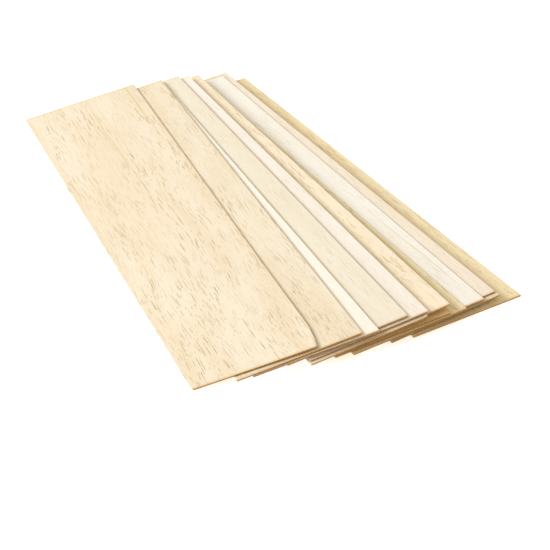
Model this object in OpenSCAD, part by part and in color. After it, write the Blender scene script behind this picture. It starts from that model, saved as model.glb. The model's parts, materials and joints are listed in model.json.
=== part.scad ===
// A pack of thin balsa sheets, spread into a loose fan on a table.
// The bottom sheet lies flat. Each other sheet leans on the left edge of
// the sheets below it, so the tilt is larger in the upper part of the pack.
// +X is across the sheets, +Y runs along them, away from the spread ends.

/* [Sheet] */
// Width of a sheet
sheet_w = 75; // [70:1:90]
// Length of a sheet, along the grain
sheet_l = 300; // [250:10:400]
// Thickness of a sheet
sheet_t = 1; // [0.8:0.1:1.5]
// Radius of the one worn corner, on the eighth sheet
worn_r = 3.5; // [1:0.5:6]
// How far the front ends of two of the sheets are cut out of square
skew = 3; // [0:0.5:4]

/* [Fan] */
// Air between two neighbouring sheets
gap = 0.1; // [0.08:0.02:0.3]
// Sideways tilt of the lower sheets, in degrees
tilt_low = 2.75; // [2:0.25:4]
// Sideways tilt of the lowest of the upper sheets, in degrees
tilt_mid = 5; // [4:0.25:6]
// Sideways tilt of the top sheet, in degrees
tilt_high = 8; // [6:0.25:9]

/* [Hidden] */
NODES = [
    "sheet_01", "sheet_02", "sheet_03", "sheet_04", "sheet_05", "sheet_06", "sheet_07",
    "sheet_08", "sheet_09", "sheet_10", "sheet_11", "sheet_12", "sheet_13"
];
count = len(NODES);
first_upper = 6;
top_sheet = 12;
worn_sheet = 7;
skewed_sheets = [10, 12];

// One value per sheet, from the bottom of the pack to the top, as a hand
// leaves them: how far each lies to the left of the sheet below it, how
// far it is pushed back from the bottom sheet, and its turn in degrees.
step_left = [0, 13.5, 1.5, 10, 14, 10.5, -1, 16, -0.5, 12.5, 20, 9.5, 23.5];
push_back = [0, 1, 5, 2.5, -1, 1, 3, 0.5, 2.5, 5.5, 7, 8, 15];
turn = [3.6, 3.9, 3, 2, 2.1, 0.6, 0.9, -0.3, -0.5, -1.6, -3.1, -4.7, -5.9];

cream = "#E3D8C2";
pale = "#E5DFD7";
rosy = "#EAE1D1";
tan_wood = "#E7D8BD";
tones = [
    tan_wood, cream, rosy, pale, cream, tan_wood, tan_wood,
    rosy, pale, pale, pale, cream, cream
];

// Left front corner of sheet i, seen from above
function shift_left(i) = i == 0 ? 0 : shift_left(i - 1) - step_left[i];

// Sideways tilt of sheet i
function tilt(i) =
    i == 0 ? 0
    : i < first_upper ? tilt_low
    : tilt_mid + (tilt_high - tilt_mid) * (i - first_upper) / (top_sheet - first_upper);

// Place of the left edge of sheet i at the distance y along the pack
function left_edge(i, y) = shift_left(i) - (y - push_back[i]) * tan(turn[i]);

// Height that the left edge of sheet i has at y when it rests on sheet j alone
function rest_height(i, j, z, y) =
    let (overhang = left_edge(j, y) - left_edge(i, y))
    z + (sheet_t + gap) / cos(tilt(j)) - overhang * tan(overhang > 0 ? tilt(i) : tilt(j));

// Heights of all left edges at y, from the bottom sheet up
function stack(y, z = [0]) =
    let (i = len(z))
    i == count ? z
    : stack(y, concat(z, [max([for (j = [0 : i - 1]) max(0, rest_height(i, j, z[j], y))])]));

front_z = stack(0);
back_z = stack(sheet_l);

// Rise of the left edge of sheet i towards the back, per millimetre
function rise(i) = (back_z[i] - front_z[i]) / sheet_l;

// Same rise as an angle
function pitch(i) = atan(rise(i) * cos(turn[i]));

// Left front corner of sheet i, before the pack is centred
function corner(i) = [shift_left(i), push_back[i], front_z[i] + rise(i) * push_back[i]];

// Point p turned by the angle a about one axis
function spin_x(p, a) = [p.x, p.y * cos(a) - p.z * sin(a), p.y * sin(a) + p.z * cos(a)];
function spin_y(p, a) = [p.x * cos(a) + p.z * sin(a), p.y, p.z * cos(a) - p.x * sin(a)];
function spin_z(p, a) = [p.x * cos(a) - p.y * sin(a), p.x * sin(a) + p.y * cos(a), p.z];

// Point p of a flat sheet, moved to where sheet i lies
function placed(i, p) =
    corner(i) + spin_z(spin_x(spin_y(p, -tilt(i)), pitch(i)), turn[i]);

// Front end of sheet i at the distance x across it
function front_end(i, x) = len(search(i, skewed_sheets)) > 0 ? -skew * x / sheet_w : 0;

// The origin is under the middle of the whole pack
outer_points = [
    for (i = [0 : count - 1], x = [0, sheet_w], y = [front_end(i, x), sheet_l], z = [0, sheet_t])
        placed(i, [x, y, z])
];
function middle(axis) =
    let (v = [for (p = outer_points) p[axis]])
    (min(v) + max(v)) / 2;
centre = [middle(0), middle(1), 0];

// Sheet i before it is placed, with its front end cut
module cut_sheet(i) {
    linear_extrude(sheet_t)
        polygon([
            [0, 0], [sheet_w, front_end(i, sheet_w)], [sheet_w, sheet_l], [0, sheet_l]
        ]);
}

// Sheet whose right front corner is worn round
module worn_corner_sheet() {
    difference() {
        cut_sheet(worn_sheet);
        translate([sheet_w - worn_r, -1, -1])
            cube([worn_r + 1, worn_r + 1, sheet_t + 2]);
    }
    translate([sheet_w - worn_r, worn_r, 0])
        cylinder(r = worn_r, h = sheet_t, $fn = 48);
}

// Sheet i where it lies in the fan
module sheet(i) {
    color(tones[i])
        translate(corner(i) - centre)
            rotate([0, 0, turn[i]])
                rotate([pitch(i), 0, 0])
                    rotate([0, -tilt(i), 0])
                        if (i == worn_sheet)
                            worn_corner_sheet();
                        else
                            cut_sheet(i);
}

for (i = [0 : count - 1])
    sheet(i);
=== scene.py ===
import json
import math

import bpy
import numpy as np
from mathutils import Matrix, Vector


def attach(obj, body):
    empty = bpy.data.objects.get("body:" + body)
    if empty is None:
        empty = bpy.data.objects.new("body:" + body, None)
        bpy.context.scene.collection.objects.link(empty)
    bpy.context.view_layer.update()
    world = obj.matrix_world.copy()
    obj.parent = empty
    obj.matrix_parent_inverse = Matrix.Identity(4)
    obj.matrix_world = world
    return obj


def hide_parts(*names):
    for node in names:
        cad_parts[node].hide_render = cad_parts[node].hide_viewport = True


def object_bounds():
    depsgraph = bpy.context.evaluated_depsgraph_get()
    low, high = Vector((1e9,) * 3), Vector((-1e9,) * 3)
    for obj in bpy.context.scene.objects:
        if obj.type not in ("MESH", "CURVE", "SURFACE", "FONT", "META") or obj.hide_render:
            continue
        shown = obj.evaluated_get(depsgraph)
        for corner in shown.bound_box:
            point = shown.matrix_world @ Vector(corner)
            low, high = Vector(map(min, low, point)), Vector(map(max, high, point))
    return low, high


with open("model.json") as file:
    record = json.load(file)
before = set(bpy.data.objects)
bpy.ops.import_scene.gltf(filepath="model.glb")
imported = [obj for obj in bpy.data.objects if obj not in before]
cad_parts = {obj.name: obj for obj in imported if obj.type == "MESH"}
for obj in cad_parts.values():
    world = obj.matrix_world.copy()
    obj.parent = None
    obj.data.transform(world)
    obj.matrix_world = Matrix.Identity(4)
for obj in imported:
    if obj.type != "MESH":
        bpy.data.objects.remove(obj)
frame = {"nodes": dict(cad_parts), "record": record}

# A fan of thin balsa sheets. Each board of the frame is replaced by a
# detailed sheet, built in the board's own axes: x across the grain, y along
# it and z up through the thickness.

MM = 0.001
CAD_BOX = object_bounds()

# Camera: its angles in degrees, its distance in metres, and the point on
# the table that it looks at, as fractions of the pack's width and length
CAMERA_AZIMUTH = 28.7
CAMERA_ELEVATION = 34.55
CAMERA_DISTANCE = 1.1765
CAMERA_LENS = 133.3
LOOK_AT = (-0.0501, -0.2080)

# Grid of a sheet, in millimetres: fine by the edges and ends, coarse inside
EDGE_STEPS = (0.0, 0.05, 0.14, 0.3, 0.6)
ACROSS_STEP = 0.75
END_ZONE = 30.0
END_STEP = 1.0
ALONG_STEP = 3.0
SIDE_LEVELS = (0.25, 0.5, 0.75)
EDGE_ROUNDING = 0.08

# Albedo of the lighter and the deeper wood of each material slot, and how
# strongly its pores show
TONES = {
    "balsa_cream": {"light": (0.77, 0.71, 0.60), "deep": (0.75, 0.67, 0.54), "pores": 0.9},
    "balsa_pale": {"light": (0.815, 0.79, 0.755), "deep": (0.795, 0.755, 0.695), "pores": 0.3},
    "balsa_rosy": {"light": (0.79, 0.74, 0.67), "deep": (0.785, 0.71, 0.60), "pores": 0.4},
    "balsa_tan": {"light": (0.80, 0.715, 0.58), "deep": (0.79, 0.69, 0.53), "pores": 0.8},
}
# How the wood of these sheets differs from the colour of their slot
TINTS = {
    "sheet_01": (1.025, 1.04, 0.97),
    "sheet_03": (1.02, 1.02, 1.03),
    "sheet_04": (1.015, 1.035, 1.04),
    "sheet_05": (1.055, 1.06, 0.97),
    # sheet_06 shows only in the shade under the upper sheets: its orange-brown tint is painted
    # warm shade
    "sheet_06": (0.98, 0.86, 0.66),
    "sheet_07": (1.045, 1.07, 1.11),
    "sheet_10": (0.95, 0.94, 0.87),
    "sheet_11": (1.06, 1.06, 1.07),
    "sheet_12": (1.0, 1.01, 1.02),
}
PORE_COLOUR = (0.33, 0.21, 0.06)
STREAK_COLOUR = (0.60, 0.50, 0.24)
SPECK_COLOUR = (0.64, 0.54, 0.34)
KNOT_COLOUR = (0.66, 0.50, 0.20)
# Colour of the band by the cut ends: saw-browned wood and painted warm shade
BROWNED_END_AND_SHADE_COLOUR = (0.64, 0.45, 0.20)
END_COLOUR = (0.48, 0.27, 0.10)

# Worn corners, in millimetres: sheet, right side, front end, reach across
# and reach along. All other corners get a small wear of their own.
WORN_CORNERS = {
    ("sheet_13", True, True): (1.6, 2.0),
    ("sheet_13", False, True): (1.6, 1.6),
    ("sheet_08", True, True): (3.5, 3.5),
}

# The right edge of the top sheet is worn away towards its front end: how
# deep, and from how far along, in millimetres
TAPER = {"sheet_13": (2.6, 20.0)}

# The right edge of the top sheet sags onto the sheet below it, and its front
# corner rises, in millimetres
TOP_SHEET = "sheet_13"
SAG = 0.3
RISE = 0.5


# ----------------------------------------------------------- sheet shapes

def board_axes(node):
    """A board's own axes as a matrix, its width, length and thickness in mm, and the
    slope of its front end."""
    mesh = frame["nodes"][node].data
    points = np.array([v.co[:] for v in mesh.vertices])
    sides = {}
    for face in mesh.polygons:
        key = tuple(round(c, 3) for c in face.normal)
        area, _ = sides.get(key, (0.0, None))
        sides[key] = (area + face.area, face.normal.copy())
    top = max((s for s in sides.values() if s[1].z > 0.9), key=lambda s: s[0])[1]
    left = max((s for s in sides.values() if s[1].x < -0.9), key=lambda s: s[0])[1]
    front = max((s for s in sides.values() if s[1].y < -0.9), key=lambda s: s[0])[1]
    up = top.normalized()
    along = up.cross(-left).normalized()
    across = along.cross(up).normalized()
    slope = -front.dot(across) / front.dot(along)
    low = [float((points @ np.array(axis)).min()) for axis in (across, along, up)]
    high = [float((points @ np.array(axis)).max()) for axis in (across, along, up)]
    low[1] -= min(slope, 0.0) * (high[0] - low[0])
    axes = Matrix((across, along, up)).transposed().to_4x4()
    axes.translation = across * low[0] + along * low[1] + up * low[2]
    return axes, [(h - l) / MM for l, h in zip(low, high)], slope


def grid_lines(size, step, end_zone=0.0, end_step=0.0):
    """Places of the grid lines over one side of a sheet."""
    half = list(EDGE_STEPS)
    while half[-1] < size / 2:
        half.append(half[-1] + (end_step if half[-1] < end_zone else step))
    half = [v for v in half if v < size / 2 - 0.3]
    return np.array(half + [size / 2] + [size - v for v in reversed(half)])


def noise_line(rng, places, wave):
    """A smooth random line over the places, between -1 and 1."""
    knots = np.arange(places.min() - 2 * wave, places.max() + 3 * wave, wave)
    values = rng.uniform(-1.0, 1.0, len(knots))
    index = ((places - knots[0]) / wave).astype(int)
    t = (places - knots[index]) / wave
    t = t * t * (3 - 2 * t)
    return values[index] * (1 - t) + values[index + 1] * t


def smooth_step(value, start, end):
    """0 before start, 1 after end, and smooth between them."""
    t = np.clip((value - start) / (end - start), 0.0, 1.0)
    return t * t * (3 - 2 * t)


def wear_corner(x, y, width, length, right, front, reach):
    """Pulls the grid points near one corner in, so that the outline is round there."""
    u = (width - x if right else x) / reach[0]
    v = (y if front else length - y) / reach[1]
    a = np.maximum(1 - u, 0.0)
    b = np.maximum(1 - v, 0.0)
    near = (a > 0) & (b > 0)
    scale = np.where(near, np.maximum(a, b) / np.maximum(np.hypot(a, b), 1e-9), 1.0)
    u = np.where(near, 1 - a * scale, u) * reach[0]
    v = np.where(near, 1 - b * scale, v) * reach[1]
    return (width - u if right else u), (v if front else length - v)


def sheet_layers(node, size, slope, rng):
    """Points of a sheet as layers of one plan grid, from the bottom to the top, in mm."""
    width, length, thickness = size
    xs = grid_lines(width, ACROSS_STEP)
    ys = grid_lines(length, ALONG_STEP, END_ZONE, END_STEP)
    x, y = np.meshgrid(xs, ys)
    for right in (False, True):
        for front in (False, True):
            small = rng.uniform(0.25, 0.9)
            reach = WORN_CORNERS.get((node, right, front), (small, small))
            x, y = wear_corner(x, y, width, length, right, front, reach)

    # The front end is square or slanted, and one long edge is worn towards it
    depth, zone = TAPER.get(node, (0.0, 1.0))
    worn = depth * np.clip(1 - y / zone, 0.0, 1.0) ** 1.5
    x = x - worn * smooth_step(x, width - 12.0, width)
    y = y + slope * x * (1 - y / length)

    # Long edges wander a little, and the cut ends aren't quite straight
    for right in (False, True):
        wander = 0.06 + 0.06 * noise_line(rng, ys, 28.0) + 0.02 * noise_line(rng, ys, 4.0)
        near = 1 - smooth_step(width - x if right else x, 0.0, 4.0)
        x = x + (-1 if right else 1) * wander[:, None] * near
    for front in (False, True):
        wander = 0.08 + 0.05 * noise_line(rng, xs, 15.0) + 0.03 * noise_line(rng, xs, 1.2)
        near = 1 - smooth_step(y - slope * x if front else length - y, 0.0, 3.0)
        y = y + (1 if front else -1) * wander[None, :] * near

    # Fibres stand up a little, more in some bands than in others
    fibres = noise_line(rng, xs, 1.6)[None, :] * (0.6 + 0.4 * noise_line(rng, ys, 60.0))[:, None]
    ripple = noise_line(rng, xs, 5.0)[None, :] * noise_line(rng, ys, 90.0)[:, None]
    relief = 0.012 * fibres + 0.015 * ripple - 0.03
    edge = np.minimum(np.minimum(xs, width - xs)[None, :], np.minimum(ys, length - ys)[:, None])
    drop = EDGE_ROUNDING * (1 - smooth_step(edge, 0.0, 0.32))
    lift = sheet_lift(node, x, y, width, length)
    top = thickness + relief - drop + lift
    bottom = -relief + drop + lift
    return x, y, bottom, top


def sheet_lift(node, x, y, width, length):
    """How far a sheet bends out of its plane. Only the top one is free to."""
    if node != TOP_SHEET:
        return np.zeros_like(x)
    front = 1 - smooth_step(y, 0.0, 0.35 * length)
    return ((RISE + SAG) * front - SAG) * smooth_step(x, 0.45 * width, 1.15 * width)


def sheet_mesh(node, axes, size, slope, rng):
    """Closed mesh of one sheet, with a second material on its cut ends."""
    x, y, bottom, top = sheet_layers(node, size, slope, rng)
    rows, columns = x.shape
    flat = np.stack([x.ravel(), y.ravel()], axis=1)
    points = [np.column_stack([flat, bottom.ravel()]), np.column_stack([flat, top.ravel()])]
    index = np.arange(rows * columns).reshape(rows, columns)
    quads = np.stack([index[:-1, :-1], index[:-1, 1:], index[1:, 1:], index[1:, :-1]], axis=-1)
    quads = quads.reshape(-1, 4)
    layer = rows * columns
    faces = [quads[:, ::-1], quads + layer]

    # The walls: one loop round the outline, with levels between the layers
    loop = np.concatenate([index[0, :-1], index[:-1, -1], index[-1, :0:-1], index[:0:-1, 0]])
    low, high = points[0][loop], points[1][loop]
    centre = np.array([size[0] / 2, size[1] / 2])
    levels = [loop]
    for number, share in enumerate(SIDE_LEVELS):
        middle = low * (1 - share) + high * share
        outward = np.sign(middle[:, :2] - centre)
        rough = rng.uniform(0.0, 0.035, len(loop))[:, None]
        front = middle[:, 1] - slope * middle[:, 0] < 1.0
        on_end = front | (middle[:, 1] > size[1] - 1.0)
        middle[:, :2] += outward * rough * np.stack([~on_end, on_end], axis=1)
        levels.append(2 * layer + number * len(loop) + np.arange(len(loop)))
        points.append(middle)
    levels.append(loop + layer)
    ahead = np.roll(np.arange(len(loop)), -1)
    wall = [
        np.stack([a, a[ahead], b[ahead], b], axis=1) for a, b in zip(levels, levels[1:])
    ]
    faces += wall

    points = np.concatenate(points)
    faces = np.concatenate(faces)
    slots = np.zeros(len(faces), int)
    middles = points[faces].mean(axis=1)
    is_wall = np.arange(len(faces)) >= 2 * len(quads)
    on_front = middles[:, 1] - slope * middles[:, 0] < 0.5
    on_end = on_front | (middles[:, 1] > size[1] - 0.5)
    slots[is_wall & on_end] = 1

    turn = np.array(axes.to_3x3())
    world = points * MM @ turn.T + np.array(axes.translation)
    mesh = bpy.data.meshes.new(node.replace("sheet", "balsa"))
    mesh.from_pydata(world.tolist(), [], faces.tolist())
    mesh.polygons.foreach_set("material_index", slots)
    mesh.polygons.foreach_set("use_smooth", np.ones(len(faces), bool))
    mesh.update()
    return mesh


# -------------------------------------------------------------- materials

class Nodes:
    """Short calls for building one material's node tree."""

    def __init__(self, name):
        self.material = bpy.data.materials.new(name)
        self.material.use_nodes = True
        self.tree = self.material.node_tree
        self.shader = self.tree.nodes["Principled BSDF"]

    def add(self, kind, inputs=(), **settings):
        """A node, with its settings and its inputs by name or number."""
        made = self.tree.nodes.new(kind)
        for key, value in settings.items():
            setattr(made, key, value)
        for key, value in dict(inputs).items():
            self.put(made.inputs[key], value)
        return made

    def put(self, socket, value):
        """Links a socket to an output, or sets it."""
        if isinstance(value, bpy.types.NodeSocket):
            self.tree.links.new(value, socket)
        else:
            socket.default_value = value

    def maths(self, operation, a, b=0.0, clamp=False):
        made = self.add("ShaderNodeMath", {0: a, 1: b}, operation=operation, use_clamp=clamp)
        return made.outputs[0]

    def ramp(self, value, start, end):
        """0 at start and 1 at end, smooth between them; start may be the larger."""
        made = self.add(
            "ShaderNodeMapRange", {"Value": value, "From Min": start, "From Max": end},
            interpolation_type="SMOOTHSTEP",
        )
        return made.outputs["Result"]

    def mix(self, share, a, b):
        """A colour between a and b."""
        made = self.add("ShaderNodeMix", {0: share}, data_type="RGBA")
        self.put(made.inputs[6], a)
        self.put(made.inputs[7], b)
        return made.outputs[2]

    def stretched(self, local, across, along, shift):
        """Local coordinates in cells of the given sizes in millimetres."""
        made = self.add(
            "ShaderNodeMapping",
            {
                "Vector": local,
                "Location": (shift, shift * 0.7, shift * 0.3),
                "Scale": (1 / (across * MM), 1 / (along * MM), 1 / (across * MM)),
            },
        )
        return made.outputs["Vector"]

    def noise(self, local, across, along, shift, detail=2.0, rough=0.5):
        """Noise between 0 and 1, with spots of the given size in millimetres."""
        made = self.add(
            "ShaderNodeTexNoise",
            {
                "Vector": self.stretched(local, across, along, shift),
                "Scale": 1.0, "Detail": detail, "Roughness": rough,
            },
        )
        return made.outputs["Fac"]

    def dashes(self, local, across, along, thick, shift):
        """Short thin dashes along the grain, one to each cell: 0 outside, up to 1 inside."""
        made = self.add(
            "ShaderNodeTexVoronoi",
            {
                "Vector": self.stretched(local, across, along, shift),
                "Scale": 1.0, "Randomness": 1.0,
            },
            voronoi_dimensions="2D",
        )
        inside = self.ramp(made.outputs["Distance"], thick, thick * 0.65)
        parts = self.add("ShaderNodeSeparateColor", {"Color": made.outputs["Color"]})
        return self.maths("MULTIPLY", inside, self.ramp(parts.outputs["Red"], 0.0, 0.8))


def local_coordinates(nodes, axes):
    """The sheet's own coordinates in metres: x across, y along, z up."""
    place = nodes.add("ShaderNodeTexCoord")
    made = nodes.add(
        "ShaderNodeMapping",
        {
            "Vector": place.outputs["Object"],
            "Location": axes.translation,
            "Rotation": axes.to_euler("XYZ"),
        },
        vector_type="TEXTURE",
    )
    return made.outputs["Vector"]


def colour(rgb):
    """The same colour with an alpha of 1."""
    return (*rgb, 1.0)


def tinted(tone, tint):
    """A tone with its two colours multiplied by the tint."""
    changed = dict(tone)
    for key in ("light", "deep"):
        changed[key] = tuple(c * t for c, t in zip(tone[key], tint))
    return changed


def bent_grain(nodes, local, shift):
    """Coordinates whose lines wander sideways a little, as real grain does."""
    bend = nodes.noise(local, 30.0, 90.0, shift, detail=1.0)
    aside = nodes.maths("MULTIPLY", nodes.maths("SUBTRACT", bend, 0.5), 9.0 * MM)
    offset = nodes.add("ShaderNodeCombineXYZ", {"X": aside})
    made = nodes.add("ShaderNodeVectorMath", {0: local, 1: offset.outputs[0]}, operation="ADD")
    return made.outputs[0]


def browned_ends_and_shade(nodes, local, size, slope):
    """1 at the two cut ends and 0 a little way in: partly saw-browned wood, partly painted warm
    shade on the strips of lower sheets that lie in the shade of the sheets above.
    """
    place = nodes.add("ShaderNodeSeparateXYZ", {0: local}).outputs
    slant = nodes.maths("MULTIPLY", place["X"], slope)
    front = nodes.maths("SUBTRACT", place["Y"], slant)
    back = nodes.maths("SUBTRACT", size[1] * MM, place["Y"])
    return nodes.ramp(nodes.maths("MINIMUM", front, back), 2.0 * MM, 0.0)


def balsa_face(name, axes, size, slope, tone, seed):
    """Wood of a sheet's faces and long edges."""
    nodes = Nodes(name)
    shift = 17.3 * (seed + 1)
    local = local_coordinates(nodes, axes)
    grain = bent_grain(nodes, local, shift)

    # Broad bands of lighter and deeper wood, then fine fibre lines
    bands = nodes.ramp(nodes.noise(grain, 11.0, 160.0, shift + 1, detail=3.0), 0.36, 0.66)
    wood = nodes.mix(bands, colour(tone["light"]), colour(tone["deep"]))
    fibres = nodes.noise(grain, 0.55, 45.0, shift + 2, detail=4.0, rough=0.65)
    fine = nodes.maths("MULTIPLY", nodes.ramp(fibres, 0.42, 0.75), 0.28)
    wood = nodes.mix(fine, wood, colour(tuple(c * 0.84 for c in tone["deep"])))

    # Pores: short dashes in patches
    patch = nodes.ramp(nodes.noise(grain, 9.0, 45.0, shift + 3, detail=2.0), 0.38, 0.60)
    pores = nodes.dashes(grain, 1.2, 46.0, 0.13, shift + 4)
    for number, (across, along, thick) in enumerate(((1.0, 28.0, 0.14), (1.2, 14.0, 0.11))):
        more = nodes.dashes(grain, across, along, thick, shift + 5 + number)
        pores = nodes.maths("MAXIMUM", pores, nodes.maths("MULTIPLY", more, 0.85))
    strength = nodes.maths("ADD", nodes.maths("MULTIPLY", patch, 0.7), 0.3)
    patchy = nodes.maths("MULTIPLY", pores, strength)
    share = nodes.maths("MULTIPLY", patchy, tone["pores"])
    wood = nodes.mix(share, wood, colour(PORE_COLOUR))

    # Raised fibres make patches of fine pale and yellow specks
    specks = nodes.ramp(nodes.noise(grain, 0.8, 1.5, shift + 8, detail=1.0), 0.40, 0.62)
    rough_patch = nodes.ramp(nodes.noise(grain, 16.0, 50.0, shift + 9, detail=1.0), 0.40, 0.62)
    rough_patch = nodes.maths("MULTIPLY", rough_patch, 0.30 * tone["pores"])
    speck_share = nodes.maths("MULTIPLY", specks, rough_patch)
    wood = nodes.mix(speck_share, wood, colour(SPECK_COLOUR))

    # A few long yellowish lines and small yellow knots
    lines = nodes.noise(grain, 2.6, 400.0, shift + 6, detail=1.0)
    streaks = nodes.maths("MULTIPLY", nodes.ramp(lines, 0.66, 0.76), 0.35)
    wood = nodes.mix(streaks, wood, colour(STREAK_COLOUR))
    knots = nodes.dashes(local, 26.0, 95.0, 0.028, shift + 10)
    knots = nodes.maths("MULTIPLY", knots, 0.5 * tone["pores"])
    wood = nodes.mix(knots, wood, colour(KNOT_COLOUR))
    # Band by the cut ends: partly saw-browned wood, partly painted warm shade on the strips that
    # lie in shade under the sheets above
    browned_and_shade = nodes.maths("MULTIPLY", browned_ends_and_shade(nodes, local, size, slope), 0.6)
    wood = nodes.mix(browned_and_shade, wood, colour(BROWNED_END_AND_SHADE_COLOUR))
    nodes.put(nodes.shader.inputs["Base Color"], wood)

    rough = nodes.maths("ADD", nodes.maths("MULTIPLY", fibres, 0.25), 0.55)
    nodes.put(nodes.shader.inputs["Roughness"], rough)
    nodes.shader.inputs["Specular IOR Level"].default_value = 0.25
    height = nodes.maths("SUBTRACT", nodes.maths("MULTIPLY", fibres, 0.5), patchy)
    bump = nodes.add(
        "ShaderNodeBump", {"Strength": 0.35, "Distance": 0.08 * MM, "Height": height}
    )
    nodes.put(nodes.shader.inputs["Normal"], bump.outputs["Normal"])
    return nodes.material


def balsa_end(name, axes, tone, seed):
    """End grain: darker, with the open ends of the pores."""
    nodes = Nodes(name)
    shift = 23.1 * (seed + 1)
    local = local_coordinates(nodes, axes)
    mottle = nodes.noise(local, 0.9, 0.9, shift, detail=4.0, rough=0.7)
    end = tuple(0.88 * e + 0.12 * d for e, d in zip(END_COLOUR, tone["deep"]))
    dark = tuple(c * 0.66 for c in end)
    wood = nodes.mix(nodes.ramp(mottle, 0.35, 0.7), colour(end), colour(dark))
    nodes.put(nodes.shader.inputs["Base Color"], wood)
    nodes.put(nodes.shader.inputs["Roughness"], nodes.ramp(mottle, -0.8, 0.6))
    nodes.shader.inputs["Specular IOR Level"].default_value = 0.15
    bump = nodes.add("ShaderNodeBump", {"Strength": 0.6, "Distance": 0.12 * MM, "Height": mottle})
    nodes.put(nodes.shader.inputs["Normal"], bump.outputs["Normal"])
    return nodes.material


def plain_floor_material():
    """A white light table: it glows a little, so that it keeps only soft contact shadows."""
    nodes = Nodes("floor_white")
    place = nodes.add("ShaderNodeTexCoord").outputs["Object"]
    spots = nodes.add("ShaderNodeTexNoise", {"Vector": place, "Scale": 3.0, "Detail": 2.0})
    tint = nodes.mix(spots.outputs["Fac"], colour((0.78, 0.80, 0.83)), colour((0.80, 0.82, 0.85)))
    nodes.put(nodes.shader.inputs["Base Color"], tint)
    nodes.shader.inputs["Emission Color"].default_value = colour((0.95, 0.94, 0.98))
    nodes.shader.inputs["Emission Strength"].default_value = 0.5
    nodes.shader.inputs["Roughness"].default_value = 0.9
    nodes.shader.inputs["Specular IOR Level"].default_value = 0.0
    return nodes.material


# ------------------------------------------------------------------ scene

def make_sheets():
    """One detailed sheet for each board of the frame."""
    body_of_node = {
        node: body for body, members in frame["record"]["behaviour"]["bodies"].items()
        for node in members
    }
    for seed, entry in enumerate(frame["record"]["subparts"]):
        node, slot = entry["node"], entry["material_slot"]
        axes, size, slope = board_axes(node)
        mesh = sheet_mesh(node, axes, size, slope, np.random.default_rng(100 + seed))
        name = node.replace("sheet", "balsa")
        tone = tinted(TONES[slot], TINTS.get(node, (1.0, 1.0, 1.0)))
        mesh.materials.append(balsa_face(name + "_face", axes, size, slope, tone, seed))
        mesh.materials.append(balsa_end(name + "_end", axes, tone, seed))
        piece = bpy.data.objects.new(name, mesh)
        bpy.context.scene.collection.objects.link(piece)
        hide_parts(node)
        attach(piece, body_of_node[node])


def make_floor():
    """A plain white table top under the pack."""
    mesh = bpy.data.meshes.new("floor")
    reach = 6.0
    corners = [(-reach, -reach, 0), (reach, -reach, 0), (reach, reach, 0), (-reach, reach, 0)]
    mesh.from_pydata(corners, [], [(0, 1, 2, 3)])
    mesh.materials.append(plain_floor_material())
    floor = bpy.data.objects.new("floor", mesh)
    floor.location.z = -0.02 * MM
    bpy.context.scene.collection.objects.link(floor)


def towards(azimuth, elevation):
    """Unit vector from the pack to a place at these angles, seen as the camera's are."""
    a, e = math.radians(azimuth), math.radians(elevation)
    return Vector((-math.sin(a) * math.cos(e), -math.cos(a) * math.cos(e), math.sin(e)))


def aim(thing, target):
    """Turns a camera or lamp to look at the target, upright."""
    thing.rotation_euler = (target - thing.location).to_track_quat("-Z", "Y").to_euler()


def make_camera():
    """A camera on the left of the pack, in front of it and above it."""
    low, high = CAD_BOX
    size = high - low
    target = Vector((LOOK_AT[0] * size.x, LOOK_AT[1] * size.y, 0.0))
    camera = bpy.data.objects.new("camera", bpy.data.cameras.new("camera"))
    camera.data.lens = CAMERA_LENS
    camera.data.sensor_width = 36.0
    camera.data.clip_start = 0.01
    camera.data.clip_end = 50.0
    camera.location = target + CAMERA_DISTANCE * towards(CAMERA_AZIMUTH, CAMERA_ELEVATION)
    aim(camera, target)
    bpy.context.scene.collection.objects.link(camera)
    bpy.context.scene.camera = camera


def make_light(name, azimuth, elevation, distance, side, watts, tint):
    """A round lamp that looks at the pack."""
    data = bpy.data.lights.new(name, "AREA")
    data.shape = "DISK"
    data.size = side
    data.energy = watts
    data.color = tint
    lamp = bpy.data.objects.new(name, data)
    lamp.location = distance * towards(azimuth, elevation)
    aim(lamp, Vector())
    bpy.context.scene.collection.objects.link(lamp)


def make_world(strength, tint):
    """Even light from all round."""
    world = bpy.data.worlds.new("studio")
    world.use_nodes = True
    background = world.node_tree.nodes["Background"]
    background.inputs["Color"].default_value = colour(tint)
    background.inputs["Strength"].default_value = strength
    bpy.context.scene.world = world


make_sheets()
make_floor()
make_camera()
# A cool lamp and warm light from all round, so that only the shadows look warm
make_light(
    "key", azimuth=106.0, elevation=35.0, distance=2.5, side=1.2, watts=52.0,
    tint=(0.81, 0.87, 1.0),
)
make_world(0.86, (1.0, 0.91, 0.75))

view = bpy.context.scene.view_settings
view.view_transform = "Standard"
view.look = "None"
view.exposure = 0.0
view.gamma = 0.8
